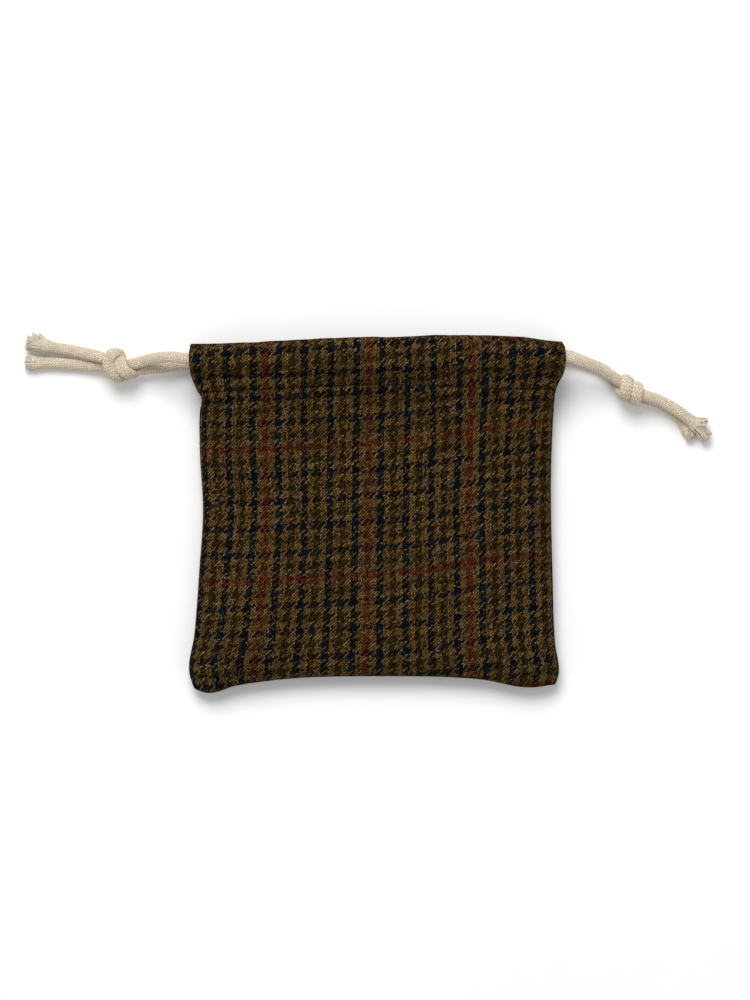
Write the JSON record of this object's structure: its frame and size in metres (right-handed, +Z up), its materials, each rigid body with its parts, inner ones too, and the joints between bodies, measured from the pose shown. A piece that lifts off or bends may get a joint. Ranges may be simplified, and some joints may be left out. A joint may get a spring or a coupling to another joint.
{
  "type": "fabric gift sack",
  "caption": "Square drawstring pouch of checked wool tweed, lying flat with its mouth open, closed by a knotted cotton cord at each side.",
  "frame": {"origin": "middle of the sack's footprint, on the surface it lies on, without its free cords", "axes": "+X towards the right cord, +Y from the bottom seam to the mouth, +Z up through the front panel"},
  "size_m": [0.2736, 0.1434, 0.0204],
  "materials": {
    "tweed": "brushed wool tweed, dark brown and navy check with a rust overcheck, fully matt",
    "cotton_cord": "soft braided undyed cotton, matt",
    "sewing_thread": "dark brown spun sewing thread"
  },
  "bodies": {
    "sack": {"front_panel": "tweed", "back_panel": "tweed", "front_casing_thread": "sewing_thread", "back_casing_thread": "sewing_thread", "left_seam_thread": "sewing_thread", "right_seam_thread": "sewing_thread", "bottom_seam_thread": "sewing_thread"},
    "left_drawstring": {"left_drawstring_front_run": "cotton_cord", "left_drawstring_back_run": "cotton_cord", "left_drawstring_bight": "cotton_cord", "left_drawstring_front_lead": "cotton_cord", "left_drawstring_back_lead": "cotton_cord", "left_drawstring_knot": "cotton_cord", "left_drawstring_upper_tail": "cotton_cord", "left_drawstring_lower_tail": "cotton_cord"},
    "right_drawstring": {"right_drawstring_front_run": "cotton_cord", "right_drawstring_back_run": "cotton_cord", "right_drawstring_bight": "cotton_cord", "right_drawstring_front_lead": "cotton_cord", "right_drawstring_back_lead": "cotton_cord", "right_drawstring_knot": "cotton_cord", "right_drawstring_over_tail": "cotton_cord", "right_drawstring_under_tail": "cotton_cord"}
  },
  "joints": [
    {"name": "left_drawstring_pull", "type": "slide", "parent": "sack", "child": "left_drawstring", "axis": [-1, 0, 0], "range_m": [0, 0.05], "deforming": ["left_drawstring_bight"]},
    {"name": "right_drawstring_pull", "type": "slide", "parent": "sack", "child": "right_drawstring", "axis": [1, 0, 0], "range_m": [0, 0.05], "deforming": ["right_drawstring_bight"]}
  ]
}
